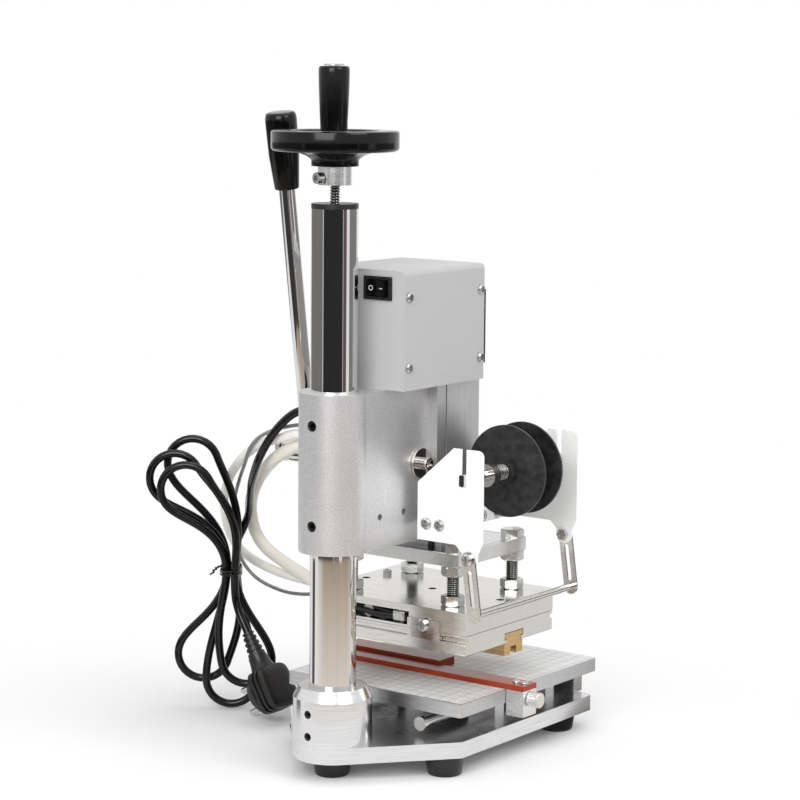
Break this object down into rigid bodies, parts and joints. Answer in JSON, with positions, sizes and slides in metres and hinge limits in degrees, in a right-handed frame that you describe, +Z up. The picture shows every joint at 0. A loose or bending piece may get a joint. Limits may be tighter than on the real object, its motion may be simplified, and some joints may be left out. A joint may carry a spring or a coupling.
{
  "type": "hot foil stamping machine",
  "caption": "Bench hot foil stamping press: handwheel-lifted head on a column, lever-driven heated ram, foil spool holder, control box and sliding work table.",
  "frame": {"origin": "on the column's axis at floor level, at the bottom of the rubber foot under the column", "axes": "+Z up along the column, -Y towards the operator, +X to the operator's right (lever side)"},
  "size_m": [0.3497, 0.2862, 0.5334],
  "materials": {
    "milled_aluminium": "milled",
    "blasted_aluminium": "bead blasted",
    "chrome_steel": "polished",
    "machined_steel": "turned",
    "zinc_fasteners": "zinc plated",
    "black_fasteners": "black oxide",
    "heater_metal": "milled",
    "brass": "machined",
    "white_paint": "satin",
    "black_plastic": "glossy",
    "disc_black": "matt",
    "foot_rubber": "matt",
    "fence_red": "glossy",
    "cord_black": "semi-gloss",
    "lead_sleeves": "soft",
    "board_green": "lacquered"
  },
  "bodies": {
    "base": {"base_plate": "milled_aluminium", "rubber_feet": "foot_rubber", "column_collar": "milled_aluminium", "base_screws": "black_fasteners", "column": "chrome_steel", "column_cap": "black_plastic", "table_guides": "milled_aluminium", "power_cord": "cord_black", "power_hank": "cord_black", "plug": "cord_black"},
    "handwheel": {"lead_screw": "machined_steel", "handwheel": "black_plastic", "hub_clamp": "milled_aluminium", "wheel_fixings": "zinc_fasteners"},
    "wheel_handle": {"wheel_handle": "black_plastic"},
    "head": {"head_block": "blasted_aluminium", "head_screws": "black_fasteners", "lead_nut": "brass", "guide_plate": "blasted_aluminium", "shaft_bushes": "brass", "return_spring": "machined_steel", "box_base": "white_paint", "box_cover": "white_paint", "box_screws": "zinc_fasteners", "temperature_controller": "black_plastic", "control_board": "board_green", "switch_housing": "black_plastic", "cable_glands": "black_plastic", "heater_leads": "lead_sleeves"},
    "rocker": {"rocker": "black_plastic"},
    "lever": {"lever_hub": "chrome_steel", "lever_rod": "chrome_steel", "lever_grip": "black_plastic", "pivot_shaft": "machined_steel", "pinion": "machined_steel", "shaft_end_fixings": "machined_steel"},
    "ram": {"ram_carriage": "blasted_aluminium", "rack": "machined_steel", "adjusting_plate": "heater_metal", "adjusting_bolts": "zinc_fasteners", "heater_block": "heater_metal", "heater_cartridges": "machined_steel", "die_latch": "chrome_steel", "foil_crossbar": "milled_aluminium", "foil_ears": "white_paint", "ram_screws": "zinc_fasteners", "spool_shaft": "chrome_steel", "spool_spring": "machined_steel"},
    "die_plate": {"die_plate": "heater_metal"},
    "type_holder": {"type_holder": "brass"},
    "spool_discs": {"spool_discs": "disc_black"},
    "foil_guide": {"foil_guide": "chrome_steel"},
    "table": {"table_plate": "milled_aluminium", "table_front_bar": "milled_aluminium", "guide_rods": "chrome_steel", "table_screws": "black_fasteners"},
    "fence": {"fence_bar": "fence_red", "fence_clamp": "milled_aluminium"},
    "thumb_screw": {"thumb_screw": "machined_steel"},
    "stop_bar": {"stop_bar": "fence_red"}
  },
  "joints": [
    {"name": "handwheel_turn", "type": "hinge", "parent": "base", "child": "handwheel", "pos_m": [0, 0, 0.428], "axis": [0, 0, 1], "range_deg": [0, 10800]},
    {"name": "wheel_handle_spin", "type": "hinge", "parent": "handwheel", "child": "wheel_handle", "pos_m": [-0.0231, 0.0308, 0.5], "axis": [0, 0, 1], "continuous": true},
    {"name": "head_lift", "type": "slide", "parent": "base", "child": "head", "axis": [0, 0, 1], "range_m": [0, 0.06], "deforming": ["power_cord"]},
    {"name": "rocker_tilt", "type": "hinge", "parent": "head", "child": "rocker", "pos_m": [-0.018, -0.0295, 0.3684], "axis": [0, 0, 1], "range_deg": [0, 14]},
    {"name": "lever_pull", "type": "hinge", "parent": "head", "child": "lever", "pos_m": [0, -0.0735, 0.232], "axis": [1, 0, 0], "range_deg": [0, 51.5], "stiffness_Nm_per_rad": 0.6, "springref_deg": -85.94},
    {"name": "ram_stroke", "type": "slide", "parent": "head", "child": "ram", "axis": [0, 0, -1], "range_m": [0, 0.0135], "deforming": ["heater_leads"]},
    {"name": "die_plate_slide", "type": "slide", "parent": "ram", "child": "die_plate", "axis": [-1, 0, 0], "range_m": [0, 0.09]},
    {"name": "type_holder_slide", "type": "slide", "parent": "die_plate", "child": "type_holder", "axis": [-1, 0, 0], "range_m": [0, 0.06]},
    {"name": "spool_spin", "type": "hinge", "parent": "ram", "child": "spool_discs", "pos_m": [-0.076, -0.128, 0.2255], "axis": [0, 1, 0], "continuous": true},
    {"name": "foil_guide_swing", "type": "hinge", "parent": "ram", "child": "foil_guide", "pos_m": [-0.082, -0.126, 0.1663], "axis": [0, 1, 0], "range_deg": [-5, 50]},
    {"name": "table_slide", "type": "slide", "parent": "base", "child": "table", "axis": [0, -1, 0], "range_m": [0, 0.075]},
    {"name": "fence_slide", "type": "slide", "parent": "table", "child": "fence", "axis": [0, 1, 0], "range_m": [0, 0.045]},
    {"name": "thumb_screw_turn", "type": "hinge", "parent": "fence", "child": "thumb_screw", "pos_m": [-0.1, -0.11775, 0.05049], "axis": [1, 0, 0], "continuous": true},
    {"name": "stop_slide", "type": "slide", "parent": "table", "child": "stop_bar", "axis": [1, 0, 0], "range_m": [-0.012, 0.012]}
  ],
  "couplings": [
    {"joint": "handwheel_turn", "follows": "head_lift", "rad_per_m": 3141.6},
    {"joint": "ram_stroke", "follows": "lever_pull", "m_per_rad": 0.015}
  ]
}
